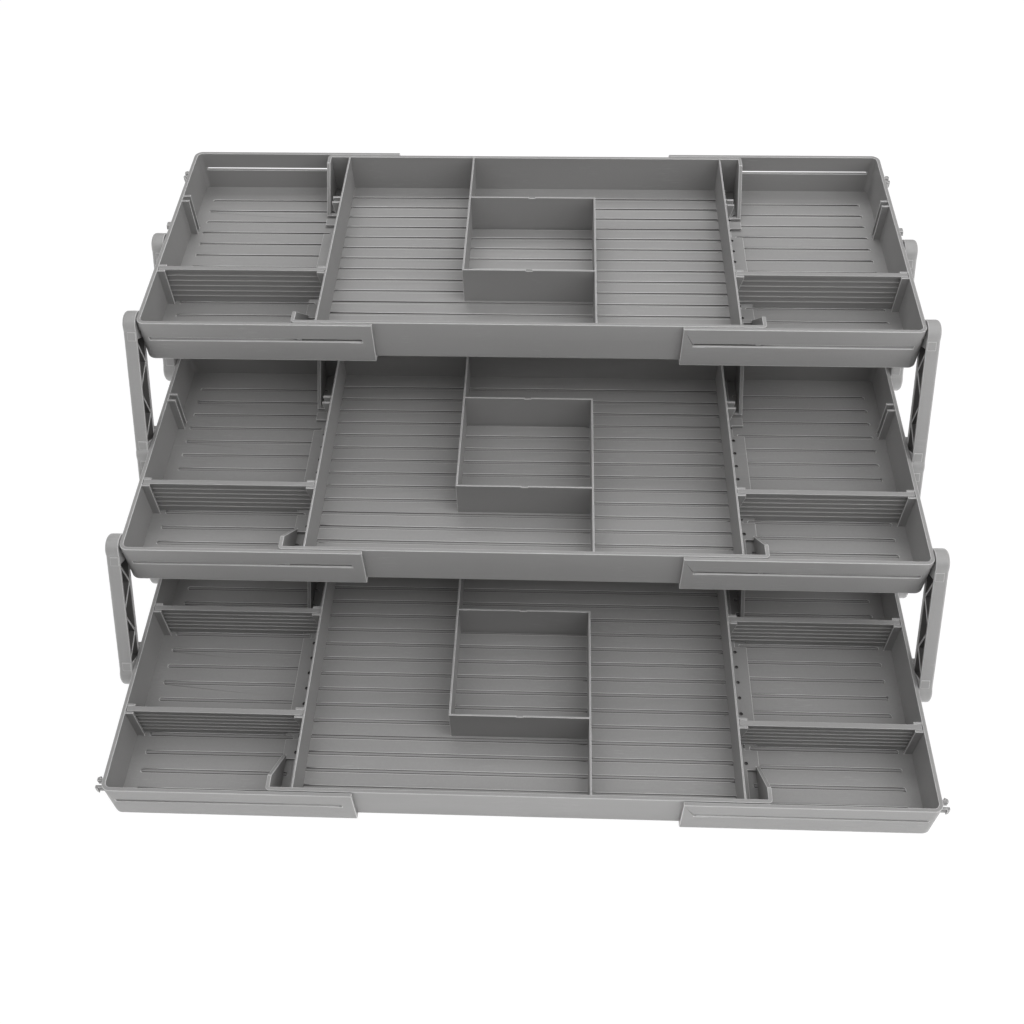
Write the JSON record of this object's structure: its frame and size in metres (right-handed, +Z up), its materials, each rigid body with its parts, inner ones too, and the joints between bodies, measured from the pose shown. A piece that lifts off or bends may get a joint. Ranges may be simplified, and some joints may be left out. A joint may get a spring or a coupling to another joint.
{
  "type": "expandable tiered storage organizer",
  "caption": "Grey plastic organizer of stacked trays that fold out like a stair on side arms, with side wings that slide out and lift-out dividers.",
  "frame": {"origin": "middle of the footprint, under the middle tray's centre, at the height the bottom tray stands on", "axes": "+X to the organizer's right, +Y from the low bottom tray back to the high top tray, +Z up"},
  "size_m": [0.6218, 0.5272, 0.2133],
  "materials": {
    "tray_plastic": "fine moulded grain, mid grey",
    "arm_plastic": "fine moulded grain, mid grey",
    "divider_plastic": "satin moulded, mid grey"
  },
  "bodies": {
    "bottom_centre_tray": {"bottom_centre_tray": "tray_plastic"},
    "left_bottom_wing": {"left_bottom_wing": "tray_plastic"},
    "right_bottom_wing": {"right_bottom_wing": "tray_plastic"},
    "middle_centre_tray": {"middle_centre_tray": "tray_plastic"},
    "left_middle_wing": {"left_middle_wing": "tray_plastic"},
    "right_middle_wing": {"right_middle_wing": "tray_plastic"},
    "top_centre_tray": {"top_centre_tray": "tray_plastic"},
    "left_top_wing": {"left_top_wing": "tray_plastic"},
    "right_top_wing": {"right_top_wing": "tray_plastic"},
    "left_long_arm": {"left_long_arm": "arm_plastic"},
    "left_lower_short_arm": {"left_lower_short_arm": "arm_plastic"},
    "left_upper_short_arm": {"left_upper_short_arm": "arm_plastic"},
    "right_long_arm": {"right_long_arm": "arm_plastic"},
    "right_lower_short_arm": {"right_lower_short_arm": "arm_plastic"},
    "right_upper_short_arm": {"right_upper_short_arm": "arm_plastic"},
    "left_bottom_front_divider": {"left_bottom_front_divider": "divider_plastic"},
    "left_middle_front_divider": {"left_middle_front_divider": "divider_plastic"},
    "left_top_front_divider": {"left_top_front_divider": "divider_plastic"},
    "left_bottom_rear_divider": {"left_bottom_rear_divider": "divider_plastic"},
    "right_bottom_front_divider": {"right_bottom_front_divider": "divider_plastic"},
    "right_middle_front_divider": {"right_middle_front_divider": "divider_plastic"},
    "right_top_front_divider": {"right_top_front_divider": "divider_plastic"},
    "right_bottom_rear_divider": {"right_bottom_rear_divider": "divider_plastic"}
  },
  "joints": [
    {"name": "left_bottom_wing_slide", "type": "slide", "parent": "bottom_centre_tray", "child": "left_bottom_wing", "axis": [-1, 0, 0], "range_m": [0, 0.045]},
    {"name": "right_bottom_wing_slide", "type": "slide", "parent": "bottom_centre_tray", "child": "right_bottom_wing", "axis": [1, 0, 0], "range_m": [0, 0.045]},
    {"name": "stack_fold", "type": "hinge", "parent": "left_bottom_wing", "child": "left_long_arm", "pos_m": [0, -0.06262, 0.028], "axis": [-1, 0, 0], "range_deg": [-100.66, 0]},
    {"name": "left_lower_short_arm_fold", "type": "hinge", "parent": "left_bottom_wing", "child": "left_lower_short_arm", "pos_m": [0, -0.15862, 0.028], "axis": [-1, 0, 0], "range_deg": [-100.66, 0]},
    {"name": "middle_tray_level", "type": "hinge", "parent": "left_long_arm", "child": "left_middle_wing", "pos_m": [0, -0.008, 0.1154], "axis": [-1, 0, 0], "range_deg": [0, 100.66]},
    {"name": "top_tray_level", "type": "hinge", "parent": "left_long_arm", "child": "left_top_wing", "pos_m": [0, 0.04662, 0.20281], "axis": [-1, 0, 0], "range_deg": [0, 100.66]},
    {"name": "left_middle_wing_slide", "type": "slide", "parent": "left_middle_wing", "child": "middle_centre_tray", "axis": [1, 0, 0], "range_m": [0, 0.045]},
    {"name": "right_middle_wing_slide", "type": "slide", "parent": "middle_centre_tray", "child": "right_middle_wing", "axis": [1, 0, 0], "range_m": [0, 0.045]},
    {"name": "left_top_wing_slide", "type": "slide", "parent": "left_top_wing", "child": "top_centre_tray", "axis": [1, 0, 0], "range_m": [0, 0.045]},
    {"name": "right_top_wing_slide", "type": "slide", "parent": "top_centre_tray", "child": "right_top_wing", "axis": [1, 0, 0], "range_m": [0, 0.045]},
    {"name": "left_upper_short_arm_fold", "type": "hinge", "parent": "left_middle_wing", "child": "left_upper_short_arm", "pos_m": [0, 0.088, 0.1154], "axis": [-1, 0, 0], "range_deg": [-100.66, 0]},
    {"name": "right_long_arm_fold", "type": "hinge", "parent": "right_bottom_wing", "child": "right_long_arm", "pos_m": [0, -0.06262, 0.028], "axis": [-1, 0, 0], "range_deg": [-100.66, 0]},
    {"name": "right_lower_short_arm_fold", "type": "hinge", "parent": "right_bottom_wing", "child": "right_lower_short_arm", "pos_m": [0, -0.15862, 0.028], "axis": [-1, 0, 0], "range_deg": [-100.66, 0]},
    {"name": "right_upper_short_arm_fold", "type": "hinge", "parent": "right_middle_wing", "child": "right_upper_short_arm", "pos_m": [0, 0.088, 0.1154], "axis": [-1, 0, 0], "range_deg": [-100.66, 0]},
    {"name": "left_bottom_front_divider_lift", "type": "slide", "parent": "left_bottom_wing", "child": "left_bottom_front_divider", "axis": [0, 0, 1], "range_m": [0, 0.036]},
    {"name": "left_middle_front_divider_lift", "type": "slide", "parent": "left_middle_wing", "child": "left_middle_front_divider", "axis": [0, 0, 1], "range_m": [0, 0.036]},
    {"name": "left_top_front_divider_lift", "type": "slide", "parent": "left_top_wing", "child": "left_top_front_divider", "axis": [0, 0, 1], "range_m": [0, 0.036]},
    {"name": "left_bottom_rear_divider_lift", "type": "slide", "parent": "left_bottom_wing", "child": "left_bottom_rear_divider", "axis": [0, 0, 1], "range_m": [0, 0.036]},
    {"name": "right_bottom_front_divider_lift", "type": "slide", "parent": "right_bottom_wing", "child": "right_bottom_front_divider", "axis": [0, 0, 1], "range_m": [0, 0.036]},
    {"name": "right_middle_front_divider_lift", "type": "slide", "parent": "right_middle_wing", "child": "right_middle_front_divider", "axis": [0, 0, 1], "range_m": [0, 0.036]},
    {"name": "right_top_front_divider_lift", "type": "slide", "parent": "right_top_wing", "child": "right_top_front_divider", "axis": [0, 0, 1], "range_m": [0, 0.036]},
    {"name": "right_bottom_rear_divider_lift", "type": "slide", "parent": "right_bottom_wing", "child": "right_bottom_rear_divider", "axis": [0, 0, 1], "range_m": [0, 0.036]}
  ],
  "couplings": [
    {"joint": "left_lower_short_arm_fold", "follows": "stack_fold", "ratio": 1},
    {"joint": "middle_tray_level", "follows": "stack_fold", "ratio": -1},
    {"joint": "top_tray_level", "follows": "stack_fold", "ratio": -1},
    {"joint": "left_upper_short_arm_fold", "follows": "stack_fold", "ratio": 1},
    {"joint": "right_long_arm_fold", "follows": "stack_fold", "ratio": 1},
    {"joint": "right_lower_short_arm_fold", "follows": "stack_fold", "ratio": 1},
    {"joint": "right_upper_short_arm_fold", "follows": "stack_fold", "ratio": 1},
    {"joint": "left_middle_wing_slide", "follows": "left_bottom_wing_slide", "ratio": 1},
    {"joint": "left_top_wing_slide", "follows": "left_bottom_wing_slide", "ratio": 1},
    {"joint": "right_middle_wing_slide", "follows": "right_bottom_wing_slide", "ratio": 1},
    {"joint": "right_top_wing_slide", "follows": "right_bottom_wing_slide", "ratio": 1}
  ]
}
